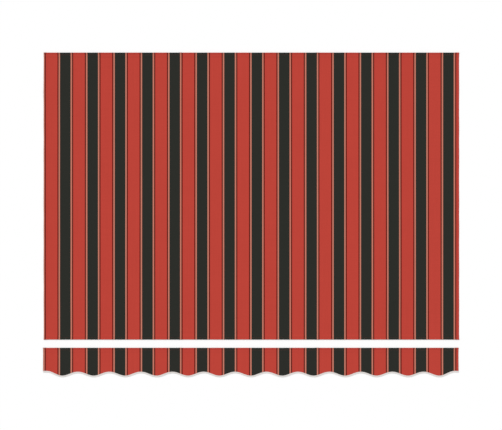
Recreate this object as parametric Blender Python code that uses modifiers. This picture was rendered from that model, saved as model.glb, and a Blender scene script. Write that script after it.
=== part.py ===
"""Fabric awning: a striped cover cloth and its scalloped valance, laid flat side by side.

Metres, +Z up. X runs across the width, +Y points to the cover's rear edge, and the floor is z = 0.
Each cloth is sewn from three widths, with turned side hems and a bead in a sewn pocket on every
edge that is held by a profile. The valance's waved edge is bound with a folded tape.
"""

import math

import bmesh
import bpy
from mathutils import Matrix

# Overall sizes
COVER_WIDTH = 3.400
COVER_LENGTH = 2.350
VALANCE_WIDTH = 3.400
VALANCE_DROP = 0.240
LAYING_GAP = 0.066
LAYING_SHIFT = 0.005

# Cloth, and the air left between pieces that touch
CLOTH = 0.0006
GAP = 0.0003
PLY = CLOTH + GAP

# Woven stripes: each repeat holds one red and one black field between pale lines
STRIPE_REPEAT = 0.224
RED_FIELD = 0.126
PALE_LINE = 0.012
DARK_LINE = 0.008
PATTERN_OFFSET = 0.0014

# Side hems, the lapped seams between widths, and the run in which a ply steps over another
WIDTHS = 3
HEM_WIDTH = 0.022
HEM_STITCH_INSET = 0.017
SEAM_LAP = 0.020
SEAM_ROWS_APART = 0.012
STEP_MARGIN = 0.002
STEP_LENGTH = 0.009

# Bead pockets
BEAD_DIAMETER = 0.005
BEAD_END_INSET = 0.002
POCKET_DEPTH = 0.030
POCKET_STITCH_INSET = 0.018
POCKET_FALL = math.radians(36)
LOOP_STEP = math.radians(36)

# Waved edge and its binding
SCALLOPS = 13
SCALLOP_FLAT_END = 0.028
SCALLOP_DEPTH = 0.032
SCALLOP_END_RISE = 0.007
SCALLOP_CHORDS = 8
BINDING_WIDTH = 0.012
BINDING = 0.0004
BINDING_STITCH_INSET = 0.009

# Sewing thread
THREAD = 0.0005
ROW_END_INSET = 0.001

# Where the outlines lie
TOTAL_LENGTH = COVER_LENGTH + LAYING_GAP + VALANCE_DROP
REAR_Y = TOTAL_LENGTH / 2
FRONT_Y = REAR_Y - COVER_LENGTH
VALANCE_TOP_Y = FRONT_Y - LAYING_GAP
VALANCE_BOTTOM_Y = VALANCE_TOP_Y - VALANCE_DROP
OUTLINE_WIDTH = max(COVER_WIDTH, VALANCE_WIDTH) + LAYING_SHIFT
COVER_LEFT = OUTLINE_WIDTH / 2 - COVER_WIDTH
COVER_RIGHT = OUTLINE_WIDTH / 2
VALANCE_LEFT = -OUTLINE_WIDTH / 2
VALANCE_RIGHT = VALANCE_LEFT + VALANCE_WIDTH
PATTERN_START = COVER_LEFT + PATTERN_OFFSET

# Heights of each ply's middle surface above the floor
FIELD_Z = CLOTH / 2
UNDER_LEAF_Z = CLOTH / 2 + PLY
BAND_Z = UNDER_LEAF_Z + PLY
VALANCE_Z = BINDING + GAP + CLOTH / 2
LOOP_RADIUS = BEAD_DIAMETER / 2 + GAP + CLOTH / 2
BEAD_Z = UNDER_LEAF_Z + LOOP_RADIUS
LOOP_REACH = LOOP_RADIUS * math.cos(LOOP_STEP / 2) + CLOTH / 2 + PLY
BINDING_TURN = GAP + BINDING
BINDING_REACH = BINDING_TURN + BINDING / 2
THREAD_LIFT = CLOTH / 2 + GAP + THREAD / 2

RED = (0.503, 0.058, 0.041)
BLACK = (0.027, 0.027, 0.023)
PALE = (0.611, 0.238, 0.156)
DARK = (0.114, 0.013, 0.008)
RED_THREAD = (0.40, 0.05, 0.04)
WHITE_TAPE = (0.86, 0.85, 0.82)
BEAD_PLASTIC = (0.75, 0.75, 0.73)


def clear_scene():
    for old in list(bpy.data.objects):
        bpy.data.objects.remove(old, do_unlink=True)


def plain_material(name, colour, roughness):
    material = bpy.data.materials.new(name)
    material.use_nodes = True
    shader = material.node_tree.nodes["Principled BSDF"]
    shader.inputs["Base Color"].default_value = (*colour, 1)
    shader.inputs["Roughness"].default_value = roughness
    shader.inputs["Metallic"].default_value = 0
    material.diffuse_color = (*colour, 1)
    return material


def striped_material():
    """Cloth whose stripes follow the distance across the width, from one repeat's start."""
    material = plain_material("striped_cloth", RED, 0.85)
    nodes = material.node_tree.nodes
    links = material.node_tree.links
    place = nodes.new("ShaderNodeTexCoord")
    split = nodes.new("ShaderNodeSeparateXYZ")
    links.new(place.outputs["Object"], split.inputs[0])
    shift = nodes.new("ShaderNodeMath")
    shift.operation = "SUBTRACT"
    shift.inputs[1].default_value = PATTERN_START
    links.new(split.outputs["X"], shift.inputs[0])
    count = nodes.new("ShaderNodeMath")
    count.operation = "DIVIDE"
    count.inputs[1].default_value = STRIPE_REPEAT
    links.new(shift.outputs[0], count.inputs[0])
    within = nodes.new("ShaderNodeMath")
    within.operation = "FRACT"
    links.new(count.outputs[0], within.inputs[0])
    ramp = nodes.new("ShaderNodeValToRGB")
    ramp.color_ramp.interpolation = "CONSTANT"
    links.new(within.outputs[0], ramp.inputs[0])
    links.new(ramp.outputs["Color"], nodes["Principled BSDF"].inputs["Base Color"])
    half = PALE_LINE / 2
    stops = (
        (half, DARK),
        (half + DARK_LINE, RED),
        (RED_FIELD - half - DARK_LINE, DARK),
        (RED_FIELD - half, PALE),
        (RED_FIELD + half, BLACK),
        (STRIPE_REPEAT - half, PALE),
    )
    elements = ramp.color_ramp.elements
    elements[1].position = 1
    elements[0].color = (*PALE, 1)
    elements[1].color = (*PALE, 1)
    for start, colour in stops:
        elements.new(start / STRIPE_REPEAT).color = (*colour, 1)
    return material


def place_object(name, data, material):
    """A named object in the awning's collection, with its own copy of the material."""
    made = bpy.data.objects.new(name, data)
    own = material.copy()
    own.name = name
    data.materials.append(own)
    bpy.data.collections["fabric_awning"].objects.link(made)
    return made


def between(start, end, share):
    return start + (end - start) * share


def step(x_from, x_to, lift_from, lift_to):
    """Points of a soft step from one level to the next, both ends included."""
    points = []
    for part in range(4):
        share = part / 3
        eased = share * share * (3 - 2 * share)
        points.append((between(x_from, x_to, share), between(lift_from, lift_to, eased)))
    return points


def hem_section(edge, inward):
    """Across the width: the turned-under ply's raw edge, round the fold, and down off the hem."""
    raw = edge + inward * HEM_WIDTH
    fold = edge + inward * (CLOTH / 2 + PLY / 2)
    points = [(raw, 0)]
    for part in range(5):
        angle = math.pi * part / 4
        across = fold - inward * math.sin(angle) * PLY / 2
        points.append((across, PLY / 2 * (1 - math.cos(angle))))
    leave = raw + inward * STEP_MARGIN
    return points + step(leave, leave + inward * STEP_LENGTH, PLY, 0)


def over_seam_section(seam):
    """Across the width: up onto the next width's edge, and on to this width's own raw edge."""
    arrive = seam - SEAM_LAP / 2 - STEP_MARGIN
    return step(arrive - STEP_LENGTH, arrive, 0, PLY) + [(seam + SEAM_LAP / 2, PLY)]


def seam_places(width):
    """The seams, where whole repeats meet, so that the stripes run on across them."""
    repeats = max(1, round(width / WIDTHS / STRIPE_REPEAT))
    return [PATTERN_START + k * repeats * STRIPE_REPEAT for k in range(1, WIDTHS)]


def width_sections(left, right, seams):
    """One section across each width of cloth, from left to right."""
    starts = [hem_section(left, 1)] + [[(seam - SEAM_LAP / 2, 0)] for seam in seams]
    ends = [over_seam_section(seam) for seam in seams] + [hem_section(right, -1)[::-1]]
    return [start + end for start, end in zip(starts, ends)]


def top_heights(left, right, seams):
    """How far the uppermost ply lies above a single one, from edge to edge."""
    points = [(left, PLY)] + hem_section(left, 1)[-4:]
    for seam in seams:
        leave = seam + SEAM_LAP / 2 + STEP_MARGIN
        points += over_seam_section(seam)[:-1] + step(leave, leave + STEP_LENGTH, PLY, 0)
    return points + hem_section(right, -1)[:-5:-1] + [(right, PLY)]


def height_at(points, x):
    """The value at x on a line through points that run along X."""
    for (x_from, from_value), (x_to, to_value) in zip(points, points[1:]):
        if x <= x_to:
            share = (x - x_from) / (x_to - x_from)
            return between(from_value, to_value, max(0, share))
    return points[-1][1]


def pocket_profile(edge, outward, field_z):
    """Along the length: the under leaf's raw edge, round the bead, along the band and down."""
    centre = edge - outward * LOOP_REACH
    raw = edge - outward * POCKET_DEPTH
    points = [(raw, UNDER_LEAF_Z)]
    turns = round((math.pi + POCKET_FALL) / LOOP_STEP)
    for part in range(turns + 1):
        angle = -math.pi / 2 + part * LOOP_STEP
        across = centre + outward * LOOP_RADIUS * math.cos(angle)
        points.append((across, BEAD_Z + LOOP_RADIUS * math.sin(angle)))
    last_y, last_z = points[-1]
    points.append((last_y - outward * (last_z - BAND_Z) / math.tan(POCKET_FALL), BAND_Z))
    leave = raw - outward * STEP_MARGIN
    return points + step(leave, leave - outward * STEP_LENGTH, BAND_Z, field_z)


class Profile:
    """A path along the length, with the direction in which each point lifts off it."""

    def __init__(self, points):
        self.points = points
        normals = []
        for (y_from, z_from), (y_to, z_to) in zip(points, points[1:]):
            run = math.hypot(y_to - y_from, z_to - z_from)
            normals.append(((z_to - z_from) / run, (y_from - y_to) / run))
        self.lifts = []
        for before, after in zip(normals[:1] + normals, normals + normals[-1:]):
            share = 1 + before[0] * after[0] + before[1] * after[1]
            self.lifts.append(((before[0] + after[0]) / share, (before[1] + after[1]) / share))

    def lifted(self, row, lift):
        y, z = self.points[row]
        return y + self.lifts[row][0] * lift, z + self.lifts[row][1] * lift

    def top_rows(self):
        """The rows that can be seen from above, from loop top to loop top."""
        tops = [row for row, (_, z) in enumerate(self.points) if z > BEAD_Z + LOOP_RADIUS * 0.99]
        last = tops[-1] if len(tops) > 1 else len(self.points) - 1
        return range(tops[0], last + 1)


def scallop_points():
    """The wave above its lowest level, as chords from edge to edge of the valance.

    The first and last half waves rise a little higher than those between them.
    """
    first = VALANCE_LEFT + SCALLOP_FLAT_END
    last = VALANCE_RIGHT - SCALLOP_FLAT_END
    chords = SCALLOPS * SCALLOP_CHORDS
    end_height = SCALLOP_DEPTH + SCALLOP_END_RISE
    points = [(VALANCE_LEFT, end_height)]
    for chord in range(chords + 1):
        at_end = min(chord, chords - chord) < SCALLOP_CHORDS / 2
        height = end_height if at_end else SCALLOP_DEPTH
        turn = 2 * math.pi * chord / SCALLOP_CHORDS
        rise = height * (1 + math.cos(turn)) / 2
        points.append((between(first, last, chord / chords), rise))
    return points + [(VALANCE_RIGHT, end_height)]


def cut_edge(wave, x):
    """Where the valance's cloth ends, inside the fold of its binding."""
    return VALANCE_BOTTOM_Y + BINDING_REACH + height_at(wave, x)


def grid(name, across, along, place):
    """A grid whose point in each column and row lies where the formula puts it."""
    shape = bmesh.new()
    bmesh.ops.create_grid(shape, x_segments=across, y_segments=along, size=0.5)
    last_row = []
    for vertex in shape.verts:
        column = round((vertex.co.x + 0.5) * across)
        row = round((vertex.co.y + 0.5) * along)
        if row == along:
            last_row.append(vertex)
        vertex.co = place(column, row)
    return shape, last_row


def finish_sheet(name, shape, thickness, material):
    mesh = bpy.data.meshes.new(name)
    shape.to_mesh(mesh)
    shape.free()
    sheet = place_object(name, mesh, material)
    wall = sheet.modifiers.new("thickness", "SOLIDIFY")
    wall.thickness = thickness
    wall.offset = 0
    wall.use_even_offset = True
    wall.use_quality_normals = True
    return sheet


def cloth_width(name, section, profile, material, wave=None):
    """One width of cloth: its section across, carried along the profile."""
    last = len(profile.points) - 1

    def place(column, row):
        x, lift = section[column]
        y, z = profile.lifted(row, lift)
        if wave and row == last:
            y = cut_edge(wave, x)
        return x, y, z

    shape, last_row = grid(name, len(section) - 1, last, place)
    if wave:
        wave_edge(shape, last_row, wave)
    finish_sheet(name, shape, CLOTH, material)


def wave_edge(shape, last_row, wave):
    """Splits the cut edge at the wave's corners, and moves the new points onto it."""
    on_edge = set(last_row)
    edges = [edge for edge in shape.edges if on_edge.issuperset(edge.verts)]
    for edge in edges:
        start, end = sorted(edge.verts, key=lambda vertex: vertex.co.x)
        for x, _ in wave:
            if start.co.x + GAP < x < end.co.x - GAP:
                share = (x - start.co.x) / (end.co.x - start.co.x)
                left_over = shape.edges.get((start, end))
                _, start = bmesh.utils.edge_split(left_over, start, share)
                start.co.y = cut_edge(wave, x)


def binding_tape(wave, tops, material):
    """A tape folded over the waved edge, its upper leg following the plies under it."""
    places = sorted(wave + tops)
    columns = [places[0][0]]
    for x, _ in places:
        if x > columns[-1] + GAP:
            columns.append(x)
    leg = BINDING_WIDTH - BINDING_REACH
    low = BINDING / 2
    stack = CLOTH + 2 * GAP + BINDING

    def place(column, row):
        x = columns[column]
        high = low + stack + height_at(tops, x)
        fold = (
            (leg, low),
            (-GAP, low),
            (-BINDING_TURN, low + BINDING),
            (-BINDING_TURN, high - BINDING),
            (-GAP, high),
            (leg, high),
        )
        out, z = fold[row]
        return x, cut_edge(wave, x) + out, z

    shape, _ = grid("valance_binding", len(columns) - 1, 5, place)
    finish_sheet("valance_binding", shape, BINDING, material)
    lift = low + stack + BINDING / 2 + GAP + THREAD / 2
    inset = BINDING_STITCH_INSET - BINDING_REACH
    ends = (VALANCE_LEFT + ROW_END_INSET, VALANCE_RIGHT - ROW_END_INSET)
    inner = [x for x in columns if ends[0] + GAP < x < ends[1] - GAP]
    return [
        (x, cut_edge(wave, x) + inset, lift + height_at(tops, x))
        for x in [ends[0], *inner, ends[1]]
    ]


def thread_row(name, points, material):
    """A row of stitching as one laid thread."""
    curve = bpy.data.curves.new(name, "CURVE")
    curve.dimensions = "3D"
    curve.bevel_depth = THREAD / 2
    curve.bevel_resolution = 1
    curve.use_fill_caps = True
    spline = curve.splines.new("POLY")
    spline.points.add(len(points) - 1)
    for point, place in zip(spline.points, points):
        point.co = (*place, 1)
    place_object(name, curve, material)


def row_along(profile, x, end_y=None):
    """A row down the length, on top of the doubled plies at x."""
    lift = PLY + THREAD_LIFT
    points = []
    for row in profile.top_rows():
        y, z = profile.lifted(row, lift)
        points.append((x, y, z))
    if end_y is not None:
        points[-1] = (x, end_y, points[-1][2])
    return points


def row_across(tops, y, left, right):
    """A row across the width on a band. It passes over the rows that run down the length."""
    over = 1 + (THREAD + GAP) / PLY
    ends = (left + ROW_END_INSET, right - ROW_END_INSET)
    inner = [x for x, _ in tops if ends[0] + GAP < x < ends[1] - GAP]
    return [
        (x, y, BAND_Z + THREAD_LIFT + height_at(tops, x) * over)
        for x in [ends[0], *inner, ends[1]]
    ]


def bead(name, edge, outward, left, right, material):
    """The round cord in a pocket, a little shorter than the cloth is wide."""
    sides = round(2 * math.pi / LOOP_STEP)
    to_width = Matrix.Rotation(LOOP_STEP / 2, 4, "X") @ Matrix.Rotation(math.radians(90), 4, "Y")
    shape = bmesh.new()
    bmesh.ops.create_cone(
        shape,
        cap_ends=True,
        segments=sides,
        radius1=BEAD_DIAMETER / 2,
        radius2=BEAD_DIAMETER / 2,
        depth=right - left - 2 * BEAD_END_INSET,
        matrix=to_width,
    )
    mesh = bpy.data.meshes.new(name)
    shape.to_mesh(mesh)
    shape.free()
    mesh.shade_smooth()
    mesh.set_sharp_from_angle(angle=math.radians(60))
    cord = place_object(name, mesh, material)
    cord.location = ((left + right) / 2, edge - outward * LOOP_REACH, BEAD_Z)


def cover(striped, thread, plastic):
    seams = seam_places(COVER_WIDTH)
    front = pocket_profile(FRONT_Y, -1, FIELD_Z)[::-1]
    profile = Profile(pocket_profile(REAR_Y, 1, FIELD_Z) + front)
    sections = width_sections(COVER_LEFT, COVER_RIGHT, seams)
    for side, section in zip(("left", "middle", "right"), sections):
        cloth_width(f"cover_cloth_{side}", section, profile, striped)
    bead("cover_rear_bead", REAR_Y, 1, COVER_LEFT, COVER_RIGHT, plastic)
    bead("cover_front_bead", FRONT_Y, -1, COVER_LEFT, COVER_RIGHT, plastic)
    for name, x in row_places("cover", COVER_LEFT, COVER_RIGHT, seams):
        thread_row(name, row_along(profile, x), thread)
    tops = top_heights(COVER_LEFT, COVER_RIGHT, seams)
    for end, y in (
        ("rear", REAR_Y - POCKET_STITCH_INSET),
        ("front", FRONT_Y + POCKET_STITCH_INSET),
    ):
        row = row_across(tops, y, COVER_LEFT, COVER_RIGHT)
        thread_row(f"cover_{end}_pocket_stitching", row, thread)


def row_places(piece, left, right, seams):
    """The name and place of each row that runs down the length."""
    rows = [
        (f"{piece}_left_hem_stitching", left + HEM_STITCH_INSET),
        (f"{piece}_right_hem_stitching", right - HEM_STITCH_INSET),
    ]
    for side, seam in zip(("left", "right"), seams):
        rows.append((f"{piece}_{side}_seam_stitching_a", seam - SEAM_ROWS_APART / 2))
        rows.append((f"{piece}_{side}_seam_stitching_b", seam + SEAM_ROWS_APART / 2))
    return rows


def valance(striped, thread, white_thread, tape, plastic):
    seams = seam_places(VALANCE_WIDTH)
    wave = scallop_points()
    tops = top_heights(VALANCE_LEFT, VALANCE_RIGHT, seams)
    pocket = pocket_profile(VALANCE_TOP_Y, 1, VALANCE_Z)
    profile = Profile(pocket + [(VALANCE_BOTTOM_Y, VALANCE_Z)])
    sections = width_sections(VALANCE_LEFT, VALANCE_RIGHT, seams)
    for side, section in zip(("left", "middle", "right"), sections):
        cloth_width(f"valance_cloth_{side}", section, profile, striped, wave)
    bead("valance_bead", VALANCE_TOP_Y, 1, VALANCE_LEFT, VALANCE_RIGHT, plastic)
    binding_row = binding_tape(wave, tops, tape)
    thread_row("valance_binding_stitching", binding_row, white_thread)
    for name, x in row_places("valance", VALANCE_LEFT, VALANCE_RIGHT, seams):
        end_y = cut_edge(wave, x) + BINDING_WIDTH - BINDING_REACH + ROW_END_INSET
        thread_row(name, row_along(profile, x, end_y), thread)
    row = row_across(tops, VALANCE_TOP_Y - POCKET_STITCH_INSET, VALANCE_LEFT, VALANCE_RIGHT)
    thread_row("valance_pocket_stitching", row, thread)


def main():
    clear_scene()
    collection = bpy.data.collections.new("fabric_awning")
    bpy.context.scene.collection.children.link(collection)
    striped = striped_material()
    thread = plain_material("thread", RED_THREAD, 0.6)
    white_thread = plain_material("white_thread", WHITE_TAPE, 0.6)
    tape = plain_material("tape", WHITE_TAPE, 0.8)
    plastic = plain_material("plastic", BEAD_PLASTIC, 0.4)
    cover(striped, thread, plastic)
    valance(striped, thread, white_thread, tape, plastic)


main()
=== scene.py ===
"""Looks of a striped awning cover and its waved valance, laid out on a pale floor.

Metres, +Z up. X runs across the width, and +Y points to the cover's rear edge.
"""

import math

import bpy
import numpy as np
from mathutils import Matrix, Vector


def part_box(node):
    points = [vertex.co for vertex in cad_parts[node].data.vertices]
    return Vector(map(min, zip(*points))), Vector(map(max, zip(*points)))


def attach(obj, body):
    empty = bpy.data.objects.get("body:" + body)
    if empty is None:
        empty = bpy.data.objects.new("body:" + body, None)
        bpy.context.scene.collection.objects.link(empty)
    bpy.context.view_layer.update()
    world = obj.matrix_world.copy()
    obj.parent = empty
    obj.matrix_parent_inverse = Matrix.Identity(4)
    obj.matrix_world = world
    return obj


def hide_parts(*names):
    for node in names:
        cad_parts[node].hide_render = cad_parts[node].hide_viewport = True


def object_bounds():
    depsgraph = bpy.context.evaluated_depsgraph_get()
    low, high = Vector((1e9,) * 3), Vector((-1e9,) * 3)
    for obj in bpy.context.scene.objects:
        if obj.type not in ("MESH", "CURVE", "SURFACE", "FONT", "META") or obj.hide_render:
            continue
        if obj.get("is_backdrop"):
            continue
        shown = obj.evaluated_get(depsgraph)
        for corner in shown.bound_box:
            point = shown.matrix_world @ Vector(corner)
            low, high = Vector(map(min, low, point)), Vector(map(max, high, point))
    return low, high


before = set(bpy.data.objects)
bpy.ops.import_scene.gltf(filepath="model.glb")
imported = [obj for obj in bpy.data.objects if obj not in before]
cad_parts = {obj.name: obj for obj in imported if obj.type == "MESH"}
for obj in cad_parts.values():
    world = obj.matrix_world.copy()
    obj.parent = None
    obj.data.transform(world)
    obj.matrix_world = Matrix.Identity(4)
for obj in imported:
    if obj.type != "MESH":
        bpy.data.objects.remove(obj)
CAD_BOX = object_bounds()

bl_info = {
    "name": "Awning Cloth",
    "version": (1, 0, 0),
    "blender": (4, 5, 0),
    "location": "3D View > Sidebar > Awning",
    "description": "Sewn awning cover with bead pockets, and its valance with a bound wavy edge",
    "category": "Add Mesh",
}

SIDES = ("left", "middle", "right")
CLOTH_MAP = "cloth"

# Distances between the points of a sheet or of a row of stitching
FIELD_ROW = 0.010
FIELD_COLUMN = 0.016
DROP_ROW = 0.008
HEM_COLUMN = 0.005
TAPE_COLUMN = 0.006
TAPE_ROW = 0.0022
ROW_POINT = 0.002

# How wide a field's finely spaced edges are, and how close two points of a path count as one
EDGE_STRIP = 0.040
SAME_PLACE = 1e-7

# Into how many parts a curved stretch is cut, and how many sides a round piece has
STEP_PARTS = 8
FOLD_PARTS = 8
LOOP_PARTS = 21
BEND_PARTS = 5
RIM_PARTS = 2
BEAD_SIDES = 24
THREAD_SIDES = 6

# Faces that meet at less than this are shaded as one
CLOTH_CREASE = math.radians(40)
BEAD_CREASE = math.radians(30)

# A pocket's loop comes down to its band at this angle, and bends over this run
POCKET_FALL = math.radians(36)
POCKET_BEND = 0.0025

# A bead is rounded by this part of its thickness where its faces meet at more than this angle
RIM_SHARE = 1 / 16
RIM_ANGLE = math.radians(60)

# The strip along a bead that lies flat, and the run in which the cover then rises in full
HELD_FLAT = 0.045
SWELL_EASE = 0.30

# The cover's swells: how many, and their heights, half widths, half lengths and spread of turns
SWELLS = 34
SWELL_SEED = 5
SWELL_SHARE = (0.2, 1)
SWELL_WIDTH = (0.09, 0.17)
SWELL_LENGTH = (0.30, 0.75)
SWELL_TURN = 0.35

# Waves along the side hems and puckers along stitching: how far in they reach, and how long
HEM_WAVE_REACH = 0.055
HEM_WAVE_LENGTH = 0.29
PUCKER_REACH = 0.030
PUCKER_LENGTH = 0.052

# They come unevenly: shifted by so many radians, over so many of their own lengths
UNEVEN_TURNS = 2.3
UNEVEN_RUN = 4

# The valance's free edge: how far up from it the curl dies away, and its slow waves
CURL_RUN = 0.11
CURL_SEED = 31
CURL_WAVE_LENGTH = 0.69

# An irregular wave is the sum of plain ones, so many times as short as the length it is given
WANDER_PACES = (0.5, 0.8, 1.4, 2.1)

# A stitch's part of its pitch, and how far from its middle it bends down, in its lengths
STITCH_SHARE = 0.86
STITCH_BEND = 0.28

# How high a stitch's middle line lies at its ends and between its bends, in its thicknesses
STITCH_LOW = -0.55
STITCH_HIGH = 0.18

# How often a thread's twist comes round it, and along one stitch
TWISTS_ROUND = 2
TWISTS_ALONG = 6

# Across and along the cloth: the size of the marks that yarns and handling leave
STREAK = (0.0024, 0.40)
SLUB = (0.33, 0.0026)
CLOUD = (0.17, 0.20)
SOIL = (0.017, 0.083)

# Wavelength of the tape's twill, and marks to a metre along a bead and across it
TWILL = 0.0022
DRAWN_LINES = (12, 2600, 2600)

# Parts of a weave's height: round yarns and their crossings, and ribs and twill
YARN_PART = 0.55
YARN_ROUNDNESS = 0.6
CROSSING_PART = 0.22
RIB_PART = 0.6
TWILL_PART = 0.2

# How much lighter or darker each pattern makes its finish. The weave's, the ribs' and the twist's
# parts are painted shade, darker in the hollows of their relief; the streaks, slubs, clouds, soil
# and drawn lines are the stuff's own tone
WEAVE_PAINTED_SHADE = 0.09
STREAK_SHADE = 0.17
SLUB_SHADE = 0.13
CLOUD_SHADE = 0.05
RIB_PAINTED_SHADE = 0.10
SOIL_SHADE = 0.06
TWIST_PAINTED_SHADE = 0.34
DRAWN_SHADE = 0.12

# How strongly relief shows
BUMP_STRENGTH = 0.6

# Where the lamps stand as seen from the cloth, how wide they look, and the floor under it
KEY_TOWARD = Vector((-0.8, 0.9, 1.1))
FILL_TOWARD = Vector((1.0, -0.5, 1.2))
LAMP_WIDTH = math.radians(14)
FLOOR_SIZE = 400
FLOOR_DEPTH = 0.0003
WHITE = (1, 1, 1, 1)

# A colour mix's two colours and its result, by their numbers among the node's sockets
MIX_BASE, MIX_OTHER, MIX_RESULT = 6, 7, 2


def outline(*nodes):
    """The lowest and highest corners of some nodes taken together."""
    lows, highs = zip(*(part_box(node) for node in nodes))
    return np.min(lows, axis=0), np.max(highs, axis=0)


COVER_LOW, COVER_HIGH = outline(*(f"cover_cloth_{side}" for side in SIDES))
VALANCE_LOW, VALANCE_HIGH = outline(*(f"valance_cloth_{side}" for side in SIDES))
BINDING_LOW, BINDING_HIGH = outline("valance_binding")


def metres(name, description, default):
    """A length that the user can change."""
    return bpy.props.FloatProperty(
        name=name, description=description, default=default, min=0, unit="LENGTH", precision=4
    )


def colour(name, description, default):
    """A colour that the user can change."""
    return bpy.props.FloatVectorProperty(
        name=name, description=description, default=default, min=0, max=1, subtype="COLOR"
    )


def share(name, description, default):
    """A part from 0 to 1 that the user can change."""
    return bpy.props.FloatProperty(
        name=name, description=description, default=default, min=0, max=1, subtype="FACTOR"
    )


class AwningCloth(bpy.types.PropertyGroup):
    """Sizes of the cloth, its hems and seams, and how it lies"""

    thickness: metres("Thickness", "Thickness of one ply of cloth", 0.0006)
    ply_gap: metres("Ply gap", "Air between two plies that are sewn together", 0.0003)
    hem: metres("Side hem", "Width of the cloth turned under at each side", 0.022)
    hem_row: metres("Hem row", "From the folded side to its row of stitching", 0.017)
    lap: metres("Seam lap", "How far one width lies over the next", 0.020)
    lap_rows: metres("Seam rows", "Distance between a seam's two rows of stitching", 0.012)
    step_margin: metres("Step margin", "From a hidden edge to the step down over it", 0.002)
    step_length: metres("Step length", "Run in which a ply steps down off another", 0.009)
    swell: metres("Swell", "Height of the broad, soft swells in the laid cover", 0.008)
    hem_wave: metres("Hem wave", "Height of the slow waves along the side hems", 0.0025)
    pucker: metres("Pucker", "Height of the small puckers that stitching draws up", 0.0003)
    curl: metres("Curl", "How far the valance's free edge curls up off the floor", 0.0020)


class AwningStripes(bpy.types.PropertyGroup):
    """Widths and colours of the woven stripes"""

    repeat: metres("Repeat", "Width of one whole repeat of the stripes", 0.224)
    offset: metres("Offset", "From the cover's left side to the first pale line's middle", 0.0014)
    red_field: metres("Red field", "From one pale line's middle to the next, over the red", 0.126)
    pale_line: metres("Pale line", "Width of a pale line", 0.012)
    dark_line: metres("Dark line", "Width of the dark line on a pale line's red side", 0.009)
    red: colour("Red", "Colour of the red yarn", (0.489, 0.0507, 0.0345))
    black: colour("Black", "Colour of the black yarn", (0.0188, 0.0201, 0.0160))
    pale: colour("Pale", "Colour of the pale yarn", (0.538, 0.183, 0.127))
    dark: colour("Dark", "Colour of the dark yarn", (0.107, 0.0071, 0.0041))
    warp: metres("Warp pitch", "Distance between two lengthwise yarns", 0.0006)
    weft: metres("Weft pitch", "Distance between two crosswise yarns", 0.0008)


class AwningEdges(bpy.types.PropertyGroup):
    """Beads, pockets, the wavy edge and its binding"""

    bead: metres("Bead", "Diameter of the cord in a pocket", 0.005)
    pocket: metres("Pocket", "From the looped edge to the turned-back ply's end", 0.030)
    pocket_row: metres("Pocket row", "From the looped edge to its row of stitching", 0.018)
    bead_colour: colour("Bead colour", "Colour of the cord in the pockets", (0.735, 0.735, 0.715))
    scallops: bpy.props.IntProperty(
        name="Scallops", description="Number of waves in the valance's edge", default=13, min=1
    )
    flat_end: metres("Flat end", "Straight edge left at each end of the waves", 0.028)
    depth: metres("Scallop depth", "Height of the waves, from lowest to highest point", 0.032)
    end_rise: metres("End rise", "How much higher the first and last half wave rise", 0.007)
    tape: metres("Tape", "Thickness of the binding tape", 0.0004)
    tape_width: metres("Tape width", "Width of tape that shows on each face", 0.012)
    tape_row: metres("Tape row", "From the tape's fold to its row of stitching", 0.009)
    tape_rib: metres("Tape rib", "Distance between two ribs of the tape's weave", 0.0009)
    tape_colour: colour("Tape colour", "Colour of the binding tape", (0.72, 0.68, 0.655))


class AwningThread(bpy.types.PropertyGroup):
    """The sewing thread"""

    diameter: metres("Diameter", "Thickness of the sewing thread", 0.0005)
    pitch: metres("Pitch", "Length of one stitch and the hole after it", 0.0045)
    red: colour("Cloth thread", "Colour of the thread in hems and seams", (0.285, 0.033, 0.027))
    white: colour("Tape thread", "Colour of the thread along the binding", (0.665, 0.637, 0.608))


class AwningStage(bpy.types.PropertyGroup):
    """Camera, light and floor"""

    pixel: metres("Pixel", "Real size of one pixel of the picture", 0.008187)
    picture: bpy.props.IntVectorProperty(
        name="Picture", description="Width and height of the picture", size=2, default=(502, 430)
    )
    middle: bpy.props.FloatVectorProperty(
        name="Middle",
        description="The cloths' middle in the picture, in pixels",
        size=2,
        default=(251.1, 214.8),
    )
    lens: bpy.props.FloatProperty(
        name="Lens", description="Focal length", default=85, min=1, unit="CAMERA"
    )
    sky: share("Sky", "Part of the light that comes evenly from all round", 0.55)
    key: share("Key", "Part of the light that comes from the upper left", 0.35)
    floor: share("Floor", "How pale the floor is under that light", 0.8)


def eased(along):
    """A way from 0 to 1 that starts and ends softly."""
    return along * along * (3 - 2 * along)


def spaced(start, end, spacing):
    """Evenly spaced values from start to end, about spacing apart."""
    return np.linspace(start, end, max(2, round(abs(end - start) / spacing) + 1))


def graded(start, end, fine, coarse):
    """Values that lie close together near both ends and further apart between them."""
    strip = math.copysign(EDGE_STRIP, end - start)
    inner = spaced(start + strip, end - strip, coarse)
    return np.r_[spaced(start, start + strip, fine), inner[1:-1], spaced(end - strip, end, fine)]


def level(places, height):
    """A level stretch of path over these places."""
    return np.c_[places, np.full(len(places), height)]


def step(start, end, from_height, to_height):
    """A soft step from one height to another."""
    along = np.linspace(0, 1, STEP_PARTS + 1)
    rise = (to_height - from_height) * eased(along)
    return np.c_[start + (end - start) * along, from_height + rise]


def joined(*parts):
    """One path from several that follow on, without the points that they share."""
    path = np.vstack(parts)
    moved = np.linalg.norm(np.diff(path, axis=0), axis=1) > SAME_PLACE
    return path[np.r_[True, moved]]


def distances(path):
    """How far along a path each of its points lies."""
    return np.r_[0, np.cumsum(np.linalg.norm(np.diff(path, axis=0), axis=1))]


def lifts(path):
    """For each point of a path, the way off it that keeps a lifted copy parallel to it."""
    along = np.diff(path, axis=0)
    along /= np.linalg.norm(along, axis=1)[:, None]
    off = np.c_[along[:, 1], -along[:, 0]]
    before, after = np.vstack([off[:1], off]), np.vstack([off, off[-1:]])
    return (before + after) / (1 + (before * after).sum(axis=1))[:, None]


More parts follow.
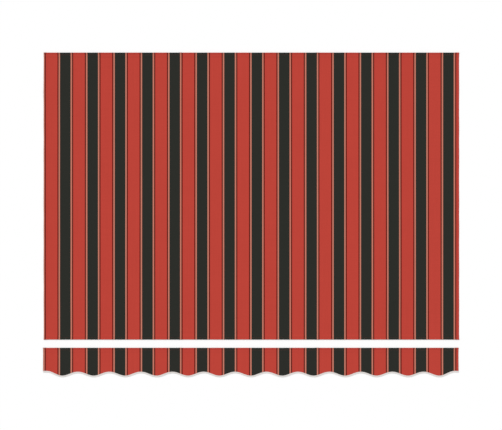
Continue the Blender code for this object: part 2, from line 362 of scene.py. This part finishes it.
def wander(places, seed, length):
    """A slow, irregular wave within -1 to 1, of about this wavelength."""
    starts = np.random.default_rng(seed).uniform(0, 2 * math.pi, len(WANDER_PACES))
    turns = 2 * math.pi * places / length
    waves = [np.sin(turns * pace + start) for pace, start in zip(WANDER_PACES, starts)]
    return sum(waves) / len(waves)


def waves_beside(x, y, edge, reach, length, seed):
    """Waves from 0 to 1 along an edge or a seam, which die away beside it."""
    turns = 2 * math.pi * y / length + UNEVEN_TURNS * wander(y, seed, UNEVEN_RUN * length)
    return np.exp(-(((x - edge) / reach) ** 2)) * (1 - np.cos(turns)) / 2


def swells(x, y, low, high):
    """Broad soft swells from 0 to 1, mostly lengthwise, as slack cloth lies on a floor."""
    random = np.random.default_rng(SWELL_SEED)
    total = 0
    for _ in range(SWELLS):
        right = x - random.uniform(low[0], high[0])
        up = y - random.uniform(low[1], high[1])
        turn = random.normal(0, SWELL_TURN)
        across = (right * math.cos(turn) + up * math.sin(turn)) / random.uniform(*SWELL_WIDTH)
        along = (up * math.cos(turn) - right * math.sin(turn)) / random.uniform(*SWELL_LENGTH)
        total = total + random.uniform(*SWELL_SHARE) * np.exp(-(across**2) - along**2)
    return 1 - np.exp(-total)


class SewnCloth:
    """A cloth of three widths: the paths of its plies, pockets and rows of stitching.

    A path across holds x and the height over the lowest ply, and a path along holds y and z.
    """

    def __init__(self, name, low, high):
        scene = bpy.context.scene
        self.name = name
        self.low, self.high = low, high
        self.cloth, self.edges = scene.awning_cloth, scene.awning_edges
        # Heights of a ply's middle over its underside, over the ply below, and on a pocket
        self.half = self.cloth.thickness / 2
        self.ply = self.cloth.thickness + self.cloth.ply_gap
        self.band = self.half + 2 * self.ply
        stripes = scene.awning_stripes
        repeats = max(1, round((high[0] - low[0]) / len(SIDES) / stripes.repeat))
        start = COVER_LOW[0] + stripes.offset
        self.seams = [start + k * repeats * stripes.repeat for k in range(1, len(SIDES))]

    def hem(self, edge, inward):
        """From the turned-under ply's raw edge, round the fold, and down off the hem."""
        raw = edge + inward * self.cloth.hem
        fold = edge + inward * (self.half + self.ply / 2)
        leave = raw + inward * self.cloth.step_margin
        turn = np.linspace(0, math.pi, FOLD_PARTS + 1)
        fold_x = fold - inward * np.sin(turn) * self.ply / 2
        return joined(
            level(spaced(raw, fold, HEM_COLUMN), 0),
            np.c_[fold_x, self.ply / 2 * (1 - np.cos(turn))],
            level(spaced(fold, leave, HEM_COLUMN), self.ply),
            step(leave, leave + inward * self.cloth.step_length, self.ply, 0),
        )

    def lap_over(self, seam):
        """Up onto the next width's edge, and on to this width's raw edge."""
        arrive = seam - self.cloth.lap / 2 - self.cloth.step_margin
        return joined(
            step(arrive - self.cloth.step_length, arrive, 0, self.ply),
            level(spaced(arrive, seam + self.cloth.lap / 2, HEM_COLUMN), self.ply),
        )

    def lap_under(self, seam):
        """From this width's raw edge until past the edge of the width over it."""
        end = seam + self.cloth.lap / 2 + self.cloth.step_margin
        return level(spaced(seam - self.cloth.lap / 2, end, HEM_COLUMN), 0)

    def widths(self):
        """For each width, its side, its path across, and the point where its stripes are set."""
        starts = [self.hem(self.low[0], 1)] + [self.lap_under(seam) for seam in self.seams]
        ends = [self.lap_over(seam) for seam in self.seams] + [self.hem(self.high[0], -1)[::-1]]
        for side, start, end in zip(SIDES, starts, ends):
            field = level(graded(start[-1, 0], end[0, 0], HEM_COLUMN, FIELD_COLUMN), 0)
            yield side, joined(start, field, end), len(start) - 1

    def top_height(self, x):
        """How far the uppermost ply lies above a single one."""
        off_hem = slice(-STEP_PARTS - 1, None)
        points = [[[self.low[0], self.ply]], self.hem(self.low[0], 1)[off_hem]]
        for seam in self.seams:
            raw = seam + self.cloth.lap / 2
            off = step(raw, raw + self.cloth.thickness, self.ply, 0)[1:]
            points += [self.lap_over(seam), off]
        points += [self.hem(self.high[0], -1)[off_hem][::-1], [[self.high[0], self.ply]]]
        return np.interp(x, *np.vstack(points).T)

    def pocket(self, edge, outward, field):
        """From the turned-back ply's raw edge, round the bead, along the band and down."""
        radius = self.edges.bead / 2 + self.cloth.ply_gap + self.half
        under = self.half + self.ply
        middle_z = under + radius
        middle_y = edge - outward * (radius * math.cos(POCKET_FALL / 2) + self.half + self.ply)
        turn = np.linspace(-math.pi / 2, math.pi / 2 + POCKET_FALL, LOOP_PARTS + 1)
        loop = np.c_[middle_y + outward * radius * np.cos(turn), middle_z + radius * np.sin(turn)]
        foot = loop[-1, 0] - outward * (loop[-1, 1] - self.band) / math.tan(POCKET_FALL)
        slant = np.array([outward * math.cos(POCKET_FALL), math.sin(POCKET_FALL)])
        corner = np.array([foot, self.band])
        before, after = corner + POCKET_BEND * slant, corner - [outward * POCKET_BEND, 0]
        part = np.linspace(0, 1, BEND_PARTS + 1)[:, None]
        bend = before * (1 - part) ** 2 + 2 * corner * part * (1 - part) + after * part**2
        raw = edge - outward * self.edges.pocket
        leave = raw - outward * self.cloth.step_margin
        return joined(
            level(spaced(raw, middle_y, HEM_COLUMN), under),
            loop,
            bend,
            level(spaced(after[0], leave, HEM_COLUMN), self.band),
            step(leave, leave - outward * self.cloth.step_length, self.band, field),
        )

    def wave_height(self, x):
        """How much shorter the cloth is cut than at its longest."""
        return np.zeros_like(x)

    def lay(self, held_in):
        """Lays the three widths. held_in, the other pieces that go with the middle one, is not
        used.
        """
        for side, across, anchor in self.widths():
            x, y, z = self.places(across)
            u, v = distances(across), distances(self.along)
            on_cloth = (u - u[anchor] + across[anchor, 0], v)
            surface = (x, y, z + self.rise(x, y))
            name = f"{self.name}_{side}_width"
            sheet = sheet_through(name, surface, on_cloth, self.cloth.thickness)
            place(sheet, woven_stripes, f"{self.name}_cloth_{side}")
            rows = [f"{node}_row" for node, _, on in self.rows_down() if on == side]
            np.trapz(v[-1] - self.wave_height(across[:, 0]), u)
            rows + (held_in if side == "middle" else [])

    def places(self, across):
        """The places of a width's points, a row for each point of the path along."""
        x, lift = across[:, 0], across[:, 1]
        off = lifts(self.along)
        y = self.along[:, :1] + off[:, :1] * lift
        z = self.along[:, 1:] + off[:, 1:] * lift
        return np.broadcast_to(x, y.shape), y, z

    def rows_down(self):
        """The CAD node, the place and the width's side of each row that runs down the length."""
        yield f"{self.name}_left_hem_stitching", self.low[0] + self.cloth.hem_row, "left"
        yield f"{self.name}_right_hem_stitching", self.high[0] - self.cloth.hem_row, "right"
        apart = self.cloth.lap_rows / 2
        for side, over, seam in zip(("left", "right"), SIDES, self.seams):
            yield f"{self.name}_{side}_seam_stitching_a", seam - apart, over
            yield f"{self.name}_{side}_seam_stitching_b", seam + apart, over

    def row_down(self, node, x):
        """A row down the length, on the doubled plies, for as far as the CAD's row runs."""
        low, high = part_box(node)
        off = lifts(self.along)
        y, z = (self.along + off * (self.ply + self.half)).T
        shown = (off[:, 1] > 0) & (y > low[1]) & (y < high[1])
        y, z = y[shown], z[shown]
        return np.c_[np.full(len(y), x), y, z + self.rise(x, y)]

    def row_across(self, node, y):
        """A row across the width, on a pocket's band."""
        low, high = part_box(node)
        x = spaced(low[0], high[0], ROW_POINT)
        z = self.band + self.half + self.top_height(x) + self.rise(x, y)
        return np.c_[x, np.full(len(x), y), z]


class Cover(SewnCloth):
    """The cover, with a bead pocket at its rear and front edges."""

    def __init__(self):
        super().__init__("cover", COVER_LOW, COVER_HIGH)
        rear = self.pocket(self.high[1], 1, self.half)
        front = self.pocket(self.low[1], -1, self.half)[::-1]
        field = level(graded(rear[-1, 0], front[0, 0], HEM_COLUMN, FIELD_ROW), self.half)
        self.along = joined(rear, field, front)

    def rise(self, x, y):
        """How far the cover lies off the floor. Its beaded edges lie flat."""
        inside = np.minimum(y - self.low[1], self.high[1] - y) - HELD_FLAT
        free = eased(np.clip(inside / SWELL_EASE, 0, 1))
        drawn = eased(np.clip(inside / HELD_FLAT, 0, 1))
        raised = self.cloth.swell * swells(x, y, self.low, self.high) * free
        sides = (self.low[0], self.high[0])
        for seed, edge in enumerate(sides):
            waves = waves_beside(x, y, edge, HEM_WAVE_REACH, HEM_WAVE_LENGTH, seed)
            raised = raised + self.cloth.hem_wave * waves * free
        for seed, edge in enumerate((*sides, *self.seams), len(sides)):
            puckers = waves_beside(x, y, edge, PUCKER_REACH, PUCKER_LENGTH, seed)
            raised = raised + self.cloth.pucker * puckers * drawn
        return raised


class Valance(SewnCloth):
    """The valance, with a bead pocket at its top and a bound wavy edge at its bottom."""

    def __init__(self):
        super().__init__("valance", VALANCE_LOW, VALANCE_HIGH)
        # Thickness of one leg of the binding, with the air between it and the cloth
        self.wrap = self.cloth.ply_gap + self.edges.tape
        pocket = self.pocket(self.high[1], 1, self.wrap + self.half)
        field = level(spaced(pocket[-1, 0], self.low[1], DROP_ROW), self.wrap + self.half)
        self.along = joined(pocket, field)
        self.field_row = len(pocket) - 1

    def rise(self, x, y):
        """How far the valance lies off the floor. Its free edge curls up."""
        down = self.high[1] - y
        free = eased(np.clip((down - HELD_FLAT) / CURL_RUN, 0, 1))
        curled = eased(np.clip(1 - (y - self.low[1]) / CURL_RUN, 0, 1))
        loose = (1 + wander(x, CURL_SEED, CURL_WAVE_LENGTH)) / 2
        return self.cloth.hem_wave * loose * free + self.cloth.curl * curled * (1 - loose / 2)

    def wave_height(self, x):
        """The cut edge above its lowest level. The waves at both ends rise a little higher."""
        first, last = self.low[0] + self.edges.flat_end, self.high[0] - self.edges.flat_end
        turns = self.edges.scallops * np.clip((x - first) / (last - first), 0, 1)
        at_end = np.minimum(turns, self.edges.scallops - turns) < 0.5
        height = self.edges.depth + np.where(at_end, self.edges.end_rise, 0)
        return height * (1 + np.cos(2 * math.pi * turns)) / 2

    def cut_edge(self, x):
        """Where the cloth ends, inside the fold of its binding."""
        return BINDING_LOW[1] + self.wrap + self.edges.tape / 2 + self.wave_height(x)

    def inside_edge(self, x, inset):
        """Places so far inside the cut edge, or outside it where the inset is negative."""
        edge = self.cut_edge(x)
        slope = np.gradient(edge, x)
        steep = np.hypot(slope, 1)
        return x - slope / steep * inset, edge + inset / steep

    def places(self, across):
        """The field's rows are drawn down to the wavy edge, each by its share of the way."""
        x, y, z = super().places(across)
        field = self.along[self.field_row :, 0]
        part = ((field - field[0]) / (field[-1] - field[0]))[:, None]
        top = y[self.field_row]
        y[self.field_row :] = top + (self.cut_edge(across[:, 0]) - top) * part
        return x, y, z

    def binding_row(self, node):
        """The row of stitching along the binding, on the tape's upper leg."""
        low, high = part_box(node)
        inset = self.edges.tape_row - self.wrap - self.edges.tape / 2
        x, y = self.inside_edge(spaced(low[0], high[0], ROW_POINT), inset)
        z = 2 * self.wrap + self.cloth.thickness + self.top_height(x) + self.rise(x, y)
        return np.c_[x, y, z]


def only(piece):
    """Makes one object the selected and active one."""
    bpy.ops.object.select_all(action="DESELECT")
    piece.select_set(True)
    bpy.context.view_layer.objects.active = piece


def sheet_through(name, places, cloth_places, thickness):
    """A sheet of this thickness through a grid of places, with a map of distances on it."""
    rows, columns = places[0].shape
    points = np.stack(places, axis=-1).reshape(-1, 3)
    corner = np.arange(rows * columns).reshape(rows, columns)
    quads = np.stack([corner[:-1, :-1], corner[:-1, 1:], corner[1:, 1:], corner[1:, :-1]], axis=-1)
    quads = quads.reshape(-1, 4)
    mesh = bpy.data.meshes.new(name)
    mesh.from_pydata(points.tolist(), [], quads.tolist())
    across, along = cloth_places
    spots = np.stack(np.broadcast_arrays(across[None, :], along[:, None]), axis=-1).reshape(-1, 2)
    layer = mesh.uv_layers.new(name=CLOTH_MAP)
    layer.uv.foreach_set("vector", spots[quads.ravel()].astype(np.float32).ravel())
    sheet = bpy.data.objects.new(name, mesh)
    bpy.context.collection.objects.link(sheet)
    only(sheet)
    wall = sheet.modifiers.new("thickness", "SOLIDIFY")
    wall.thickness = thickness
    wall.offset = 0
    wall.use_even_offset = True
    wall.use_quality_normals = True
    bpy.ops.object.modifier_apply(modifier=wall.name)
    bpy.ops.object.shade_smooth_by_angle(angle=CLOTH_CREASE)
    return sheet


def place(piece, finish, node):
    """Gives a finished piece its material, and puts it in the frame instead of its CAD node."""
    made = bpy.data.materials.get(finish.__name__) or finish()
    piece.data.materials.clear()
    piece.data.materials.append(made)
    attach(piece, "root")
    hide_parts(node)


class AWNING_OT_cover_cloth(bpy.types.Operator):
    """Lay out the cover: three sewn widths, side hems, and a bead pocket at front and rear"""

    bl_idname = "awning.cover_cloth"
    bl_label = "Cover cloth"

    def execute(self, context):
        held_in = [f"cover_{end}_bead_cord" for end in ("rear", "front")]
        held_in += [f"cover_{end}_pocket_stitching_row" for end in ("rear", "front")]
        Cover().lay(held_in)
        return {"FINISHED"}


class AWNING_OT_valance_cloth(bpy.types.Operator):
    """Lay out the valance: three sewn widths, side hems, a bead pocket and a wavy cut edge"""

    bl_idname = "awning.valance_cloth"
    bl_label = "Valance cloth"

    def execute(self, context):
        Valance().lay(["valance_bead_cord", "valance_pocket_stitching_row"])
        return {"FINISHED"}


class AWNING_OT_binding(bpy.types.Operator):
    """Fold the tape over the valance's wavy edge"""

    bl_idname = "awning.binding"
    bl_label = "Binding tape"

    def execute(self, context):
        valance = Valance()
        tape = valance.edges.tape
        leg = valance.edges.tape_width - valance.wrap - tape / 2
        stack = valance.wrap * 2 - tape + valance.cloth.thickness
        # The tape's section: its lower leg, the fold round the cut edge, and its upper leg
        turn = np.linspace(0, math.pi, FOLD_PARTS)[1:-1]
        legs = spaced(leg, 0, TAPE_ROW)
        inset = np.r_[legs, -valance.wrap * np.sin(turn), legs[::-1]]
        height = np.r_[np.zeros_like(legs), (1 - np.cos(turn)) / 2, np.ones_like(legs)]
        columns = spaced(BINDING_LOW[0], BINDING_HIGH[0], TAPE_COLUMN)
        x, y = (part.T for part in valance.inside_edge(columns, inset[:, None]))
        z = tape / 2 + (stack + valance.top_height(x)) * height + valance.rise(x, y)
        x = np.clip(x, BINDING_LOW[0], BINDING_HIGH[0])
        folded = distances(np.c_[inset, stack * height])
        length = distances(np.c_[columns, valance.cut_edge(columns)])
        sheet = sheet_through("edge_binding", (x, y, z), (folded, length), tape)
        place(sheet, ribbed_tape, "valance_binding")
        return {"FINISHED"}


def rod(length, thickness, sides, location):
    """A rod along X with plain ends, selected and active, with its place in its mesh."""
    bpy.ops.object.select_all(action="DESELECT")
    bpy.ops.mesh.primitive_cylinder_add(
        vertices=sides,
        radius=thickness / 2,
        depth=length,
        location=location,
        rotation=(0, math.radians(90), 0),
    )
    bpy.ops.object.transform_apply(location=True, rotation=True, scale=True)
    return bpy.context.object


class AWNING_OT_beads(bpy.types.Operator):
    """Put the round cords in their pockets"""

    bl_idname = "awning.beads"
    bl_label = "Bead cords"

    def execute(self, context):
        thickness = context.scene.awning_edges.bead
        for node in ("cover_rear_bead", "cover_front_bead", "valance_bead"):
            low, high = (Vector(corner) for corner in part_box(node))
            cord = rod(high.x - low.x, thickness, BEAD_SIDES, (low + high) / 2)
            cord.name = cord.data.name = f"{node}_cord"
            rims = cord.modifiers.new("rims", "BEVEL")
            rims.width = RIM_SHARE * thickness
            rims.segments = RIM_PARTS
            rims.limit_method = "ANGLE"
            rims.angle_limit = RIM_ANGLE
            bpy.ops.object.modifier_apply(modifier=rims.name)
            bpy.ops.object.shade_smooth_by_angle(angle=BEAD_CREASE)
            place(cord, drawn_plastic, node)
        return {"FINISHED"}


def stitch(thread):
    """One stitch at a row's start: it lies on the cloth, and dips into a hole at each end."""
    thickness = thread.diameter
    length = STITCH_SHARE * thread.pitch
    middle = thread.pitch / 2
    pattern = rod(length, thickness, THREAD_SIDES, (middle, 0, STITCH_LOW * thickness))
    bpy.ops.object.mode_set(mode="EDIT")
    for end in (-1, 1):
        bpy.ops.mesh.select_all(action="SELECT")
        bend = (middle + end * STITCH_BEND * length, 0, 0)
        bpy.ops.mesh.bisect(plane_co=bend, plane_no=(1, 0, 0))
    bpy.ops.mesh.select_all(action="DESELECT")
    bpy.ops.object.mode_set(mode="OBJECT")
    halfway_down = (STITCH_BEND + 0.5) / 2 * length
    for vertex in pattern.data.vertices:
        vertex.select = abs(vertex.co.x - middle) < halfway_down
    bpy.ops.object.mode_set(mode="EDIT")
    bpy.ops.transform.translate(value=(0, 0, (STITCH_HIGH - STITCH_LOW) * thickness))
    bpy.ops.object.mode_set(mode="OBJECT")
    return pattern


def sew(pattern, node, points, finish):
    """A row of copies of one stitch along a path on the cloth."""
    length = distances(points)[-1]
    count = round(length / bpy.context.scene.awning_thread.pitch)
    line = bpy.data.curves.new("line", "CURVE")
    line.dimensions = "3D"
    line.twist_mode = "Z_UP"
    spline = line.splines.new("POLY")
    spline.points.add(len(points) - 1)
    spline.points.foreach_set("co", np.c_[points, np.ones(len(points))].ravel())
    path = bpy.data.objects.new("line", line)
    bpy.context.collection.objects.link(path)
    only(pattern)
    bpy.ops.object.duplicate()
    row = bpy.context.object
    row.name = row.data.name = f"{node}_row"
    copies = row.modifiers.new("copies", "ARRAY")
    copies.count = count
    copies.use_relative_offset = False
    copies.use_constant_offset = True
    copies.constant_offset_displace = (length / count, 0, 0)
    follow = row.modifiers.new("follow", "CURVE")
    follow.object = path
    bpy.ops.object.modifier_apply(modifier=copies.name)
    bpy.ops.object.modifier_apply(modifier=follow.name)
    bpy.ops.object.shade_smooth()
    bpy.data.objects.remove(path)
    place(row, finish, node)


class AWNING_OT_stitching(bpy.types.Operator):
    """Sew the hems, seams and pockets of both cloths, and the valance's binding"""

    bl_idname = "awning.stitching"
    bl_label = "Stitching"

    def execute(self, context):
        cover, valance = Cover(), Valance()
        inset = cover.edges.pocket_row
        pattern = stitch(context.scene.awning_thread)
        rows = {
            "cover_rear_pocket_stitching": (cover, cover.high[1] - inset),
            "cover_front_pocket_stitching": (cover, cover.low[1] + inset),
            "valance_pocket_stitching": (valance, valance.high[1] - inset),
        }
        for node, (sewn, y) in rows.items():
            sew(pattern, node, sewn.row_across(node, y), red_thread)
        for sewn in (cover, valance):
            for node, x, _ in sewn.rows_down():
                sew(pattern, node, sewn.row_down(node, x), red_thread)
        node = "valance_binding_stitching"
        sew(pattern, node, valance.binding_row(node), white_thread)
        bpy.data.objects.remove(pattern)
        return {"FINISHED"}


def maths(operation):
    """An operator's method and its reflected form, which each add a Math node."""

    def forward(self, other):
        return self.nodes.math(operation, self, other)

    def reflected(self, other):
        return self.nodes.math(operation, other, self)

    return forward, reflected


class Signal:
    """A value on its way through nodes. Sums and products of it add their Math nodes."""

    __add__, __radd__ = maths("ADD")
    __sub__, __rsub__ = maths("SUBTRACT")
    __mul__, __rmul__ = maths("MULTIPLY")
    __truediv__, __rtruediv__ = maths("DIVIDE")
    __pow__, __rpow__ = maths("POWER")

    def __init__(self, nodes, socket):
        self.nodes = nodes
        self.socket = socket

    def __abs__(self):
        return self.nodes.math("ABSOLUTE", self)

    def sine(self, wavelength):
        """A wave from -1 to 1 on a distance."""
        return self.nodes.math("SINE", self * (2 * math.pi / wavelength))

    def share_of(self, repeat):
        """How far into its repeat a distance comes, from 0 to 1."""
        return self.nodes.math("FRACT", self / repeat)


class Nodes:
    """The nodes of a material or a world."""

    def __init__(self, owner):
        owner.use_nodes = True
        self.tree = owner.node_tree

    def add(self, kind, settings=None, sockets=None, output=0):
        """Adds a node, makes its settings, and gives its sockets their values or links."""
        made = self.tree.nodes.new(kind)
        for name, value in (settings or {}).items():
            if name == "stops":
                self.set_stops(made.color_ramp, value)
            else:
                setattr(made, name, value)
        for name, value in (sockets or {}).items():
            self.give(made, name, value)
        return Signal(self, made.outputs[output])

    def math(self, operation, *values):
        """The outcome of a Math node."""
        return self.add("ShaderNodeMath", {"operation": operation}, dict(enumerate(values)))

    def give(self, made, socket, value):
        """Gives a node's socket a value or a link."""
        if isinstance(value, Signal):
            self.tree.links.new(value.socket, made.inputs[socket])
        else:
            made.inputs[socket].default_value = value

    def set_stops(self, ramp, stops):
        """Fields of plain colour, each from its stop to the next."""
        ramp.interpolation = "CONSTANT"
        while len(ramp.elements) < len(stops):
            ramp.elements.new(1)
        for element, (position, yarn) in zip(ramp.elements, stops):
            element.position = position
            element.color = yarn

    def shown(self):
        """1 for what the camera, a gloss or a glass sees, and 0 for what only lights the cloth."""
        direct = self.add("ShaderNodeLightPath", output="Is Camera Ray")
        for ray in ("Is Glossy Ray", "Is Transmission Ray"):
            direct = self.math("MAXIMUM", direct, self.add("ShaderNodeLightPath", output=ray))
        return direct


class Finish(Nodes):
    """A material of one shader, whose constant sockets are set at the start."""

    def __init__(self, name, **constants):
        self.material = bpy.data.materials.new(name)
        super().__init__(self.material)
        self.shader = self.tree.nodes["Principled BSDF"]
        for socket, value in constants.items():
            self.feed(socket.replace("_", " "), value)

    def feed(self, socket, value):
        """Gives the shader's socket a value or a link."""
        self.give(self.shader, socket, value)

    def map(self, name):
        """Both distances of a UV map."""
        spot = self.add("ShaderNodeUVMap", {"uv_map": name})
        return [self.add("ShaderNodeSeparateXYZ", None, {0: spot}, output) for output in (0, 1)]

    def marks(self, across, along, size):
        """Soft marks from 0 to 1, of this size across and along."""
        spot = self.add("ShaderNodeCombineXYZ", None, {0: across / size[0], 1: along / size[1]})
        return self.add("ShaderNodeTexNoise", None, {"Vector": spot, "Scale": 1.0})

    def shaded(self, base, *patterns):
        """A colour made lighter and darker by patterns from 0 to 1, each by its own shade."""
        light = 1
        for pattern, shade in patterns:
            light = (pattern - 0.5) * shade + light
        mix = {"data_type": "RGBA", "blend_type": "MULTIPLY"}
        sockets = {"Factor": 1.0, MIX_BASE: base, MIX_OTHER: light}
        self.feed("Base Color", self.add("ShaderNodeMix", mix, sockets, MIX_RESULT))

    def rough(self, height, hollows, tops):
        """Roughness from that of a relief's hollows to that of its tops."""
        self.feed("Roughness", hollows + height * (tops - hollows))

    def bump(self, height, distance):
        """Relief of this real height, drawn by a pattern from 0 to 1."""
        relief = {"Height": height, "Distance": distance, "Strength": BUMP_STRENGTH}
        self.feed("Normal", self.add("ShaderNodeBump", None, relief))


def woven_stripes():
    """Plain-woven cloth with lengthwise stripes, each yarn a little lighter or darker, with
    painted shade between the yarns.
    """
    stripes = bpy.context.scene.awning_stripes
    finish = Finish("woven_stripes", Specular_IOR_Level=0.12, Sheen_Weight=0.06)
    across, along = finish.map(CLOTH_MAP)
    half = stripes.pale_line / 2
    dark = half + stripes.dark_line
    fields = (
        (0, stripes.pale),
        (half, stripes.dark),
        (dark, stripes.red),
        (stripes.red_field - dark, stripes.dark),
        (stripes.red_field - half, stripes.pale),
        (stripes.red_field + half, stripes.black),
        (stripes.repeat - half, stripes.pale),
    )
    stops = [(start / stripes.repeat, (*yarn, 1)) for start, yarn in fields]
    within = (across - float(COVER_LOW[0]) - stripes.offset).share_of(stripes.repeat)
    yarns = finish.add("ShaderNodeValToRGB", {"stops": stops}, {0: within})
    warp = across.sine(2 * stripes.warp)
    weft = along.sine(2 * stripes.weft)
    crossings = warp * weft * CROSSING_PART + CROSSING_PART
    weave = abs(warp) ** YARN_ROUNDNESS * YARN_PART + crossings
    # The weave's part is painted shade: darker in the hollows between the round yarns, lighter on
    # their tops. The streaks, slubs and clouds are the yarns' own tone.
    finish.shaded(
        yarns,
        (weave, WEAVE_PAINTED_SHADE),
        (finish.marks(across, along, STREAK), STREAK_SHADE),
        (finish.marks(across, along, SLUB), SLUB_SHADE),
        (finish.marks(across, along, CLOUD), CLOUD_SHADE),
    )
    finish.rough(weave, hollows=0.93, tops=0.81)
    finish.bump(weave, distance=0.00008)
    return finish.material


def ribbed_tape():
    """White tape, ribbed across its length and faintly twilled, with painted shade in the grooves
    of its ribs and twill.
    """
    edges = bpy.context.scene.awning_edges
    finish = Finish("ribbed_tape", Specular_IOR_Level=0.2, Sheen_Weight=0.1)
    across, along = finish.map(CLOTH_MAP)
    ribs = abs(along.sine(2 * edges.tape_rib))
    twill = (across + along).sine(TWILL) * TWILL_PART + TWILL_PART
    weave = ribs * RIB_PART + twill
    soil = finish.marks(across, along, SOIL)
    # The ribs and twill are painted shade, darker in their grooves; the soil is the tape's own
    # tone.
    finish.shaded((*edges.tape_colour, 1), (weave, RIB_PAINTED_SHADE), (soil, SOIL_SHADE))
    finish.rough(weave, hollows=0.9, tops=0.75)
    finish.bump(weave, distance=0.0001)
    return finish.material


def twisted_thread(name, base):
    """Thread whose plies wind round it, with painted shade in the grooves between the plies."""
    finish = Finish(name, Specular_IOR_Level=0.35, Sheen_Weight=0.1)
    around, length = finish.map("UVMap")
    twist = (around * TWISTS_ROUND + length * TWISTS_ALONG).sine(1) * 0.5 + 0.5
    # The twist is painted shade, darker in the grooves between the plies.
    finish.shaded((*base, 1), (twist, TWIST_PAINTED_SHADE))
    finish.rough(twist, hollows=0.65, tops=0.45)
    finish.bump(twist, distance=0.00006)
    return finish.material


def red_thread():
    """The thread of the hems, seams and pockets."""
    return twisted_thread("red_thread", bpy.context.scene.awning_thread.red)


def white_thread():
    """The thread along the binding."""
    return twisted_thread("white_thread", bpy.context.scene.awning_thread.white)


def drawn_plastic():
    """Satin plastic with faint lines along it, as it was drawn."""
    base = (*bpy.context.scene.awning_edges.bead_colour, 1)
    finish = Finish("drawn_plastic")
    spot = finish.add("ShaderNodeTexCoord", output="Object")
    drawn = finish.add("ShaderNodeMapping", None, {"Vector": spot, "Scale": DRAWN_LINES})
    lines = finish.add("ShaderNodeTexNoise", None, {"Vector": drawn, "Scale": 1.0})
    finish.shaded(base, (lines, DRAWN_SHADE))
    finish.rough(lines, hollows=0.34, tops=0.54)
    finish.bump(lines, distance=0.00003)
    return finish.material


def sun(name, toward, part):
    """A soft, distant lamp that gives a level surface this part of the plain light."""
    bpy.ops.object.light_add(type="SUN")
    lamp = bpy.context.object
    lamp.name = lamp.data.name = name
    lamp.rotation_mode = "QUATERNION"
    lamp.rotation_quaternion = toward.to_track_quat("Z", "Y")
    lamp.data.energy = part * math.pi * toward.length / toward.z
    lamp.data.angle = LAMP_WIDTH


class AWNING_OT_stage(bpy.types.Operator):
    """Set up the floor, the light and the camera over the cloth"""

    bl_idname = "awning.stage"
    bl_label = "Stage"

    def execute(self, context):
        stage = context.scene.awning_stage
        self.floor(stage)
        self.light(context.scene, stage)
        self.camera(context.scene, stage)
        context.scene.view_settings.view_transform = "Standard"
        return {"FINISHED"}

    def floor(self, stage):
        """A pale floor that keeps the shadows. Its own glow fills it up to white."""
        bpy.ops.object.select_all(action="DESELECT")
        bpy.ops.mesh.primitive_plane_add(size=FLOOR_SIZE, location=(0, 0, -FLOOR_DEPTH))
        floor = bpy.context.object
        floor.name = floor.data.name = "floor"
        finish = Finish("pale_floor", Roughness=0.9, Specular_IOR_Level=0)
        finish.feed("Base Color", (stage.floor, stage.floor, stage.floor, 1))
        finish.feed("Emission Strength", 1 - stage.floor)
        finish.feed("Emission Color", finish.shown())
        floor.data.materials.append(finish.material)
        floor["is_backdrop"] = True

    def light(self, scene, stage):
        """An even sky that looks white, a key lamp and a weak fill lamp."""
        scene.world = bpy.data.worlds.new("even_sky")
        sky = Nodes(scene.world)
        lights = sky.add("ShaderNodeBackground", None, {"Color": WHITE, "Strength": stage.sky})
        seen = sky.add("ShaderNodeBackground", None, {"Color": WHITE})
        either = sky.add("ShaderNodeMixShader", None, {0: sky.shown(), 1: lights, 2: seen})
        sky.give(sky.tree.nodes["World Output"], "Surface", either)
        sun("key_light", KEY_TOWARD, stage.key)
        sun("fill_light", FILL_TOWARD, 1 - stage.sky - stage.key)

    def camera(self, scene, stage):
        """Straight down, so far up that one pixel of the picture spans its real size."""
        width, height = stage.picture
        middle = Vector((CAD_BOX[0] + CAD_BOX[1]) / 2)
        data = bpy.data.cameras.new("camera")
        data.lens = stage.lens
        camera = bpy.data.objects.new("camera", data)
        camera.location = (
            middle.x + (width / 2 - stage.middle[0]) * stage.pixel,
            middle.y + (stage.middle[1] - height / 2) * stage.pixel,
            width * stage.pixel * data.lens / data.sensor_width,
        )
        scene.collection.objects.link(camera)
        scene.camera = camera


SETTINGS = {
    "awning_cloth": AwningCloth,
    "awning_stripes": AwningStripes,
    "awning_edges": AwningEdges,
    "awning_thread": AwningThread,
    "awning_stage": AwningStage,
}
OPERATORS = (
    AWNING_OT_stage,
    AWNING_OT_beads,
    AWNING_OT_stitching,
    AWNING_OT_cover_cloth,
    AWNING_OT_valance_cloth,
    AWNING_OT_binding,
)


class AWNING_PT_build(bpy.types.Panel):
    """Sizes, colours and building steps of the awning"""

    bl_label = "Awning"
    bl_idname = "AWNING_PT_build"
    bl_space_type = "VIEW_3D"
    bl_region_type = "UI"
    bl_category = "Awning"

    def draw(self, context):
        for name, group in SETTINGS.items():
            box = self.layout.box()
            for setting in group.__annotations__:
                box.prop(getattr(context.scene, name), setting)
        for operator in OPERATORS:
            self.layout.operator(operator.bl_idname)


def register():
    for name, group in SETTINGS.items():
        bpy.utils.register_class(group)
        setattr(bpy.types.Scene, name, bpy.props.PointerProperty(type=group))
    for made in (*OPERATORS, AWNING_PT_build):
        bpy.utils.register_class(made)


def unregister():
    for made in (AWNING_PT_build, *reversed(OPERATORS)):
        bpy.utils.unregister_class(made)
    for name, group in reversed(SETTINGS.items()):
        delattr(bpy.types.Scene, name)
        bpy.utils.unregister_class(group)


def main():
    register()
    bpy.ops.awning.stage()
    bpy.ops.awning.beads()
    bpy.ops.awning.stitching()
    bpy.ops.awning.cover_cloth()
    bpy.ops.awning.valance_cloth()
    bpy.ops.awning.binding()
    boxes = {"cad": CAD_BOX, "visual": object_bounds()}
    {name: [list(corner) for corner in box] for name, box in boxes.items()}


if __name__ == "__main__":
    main()
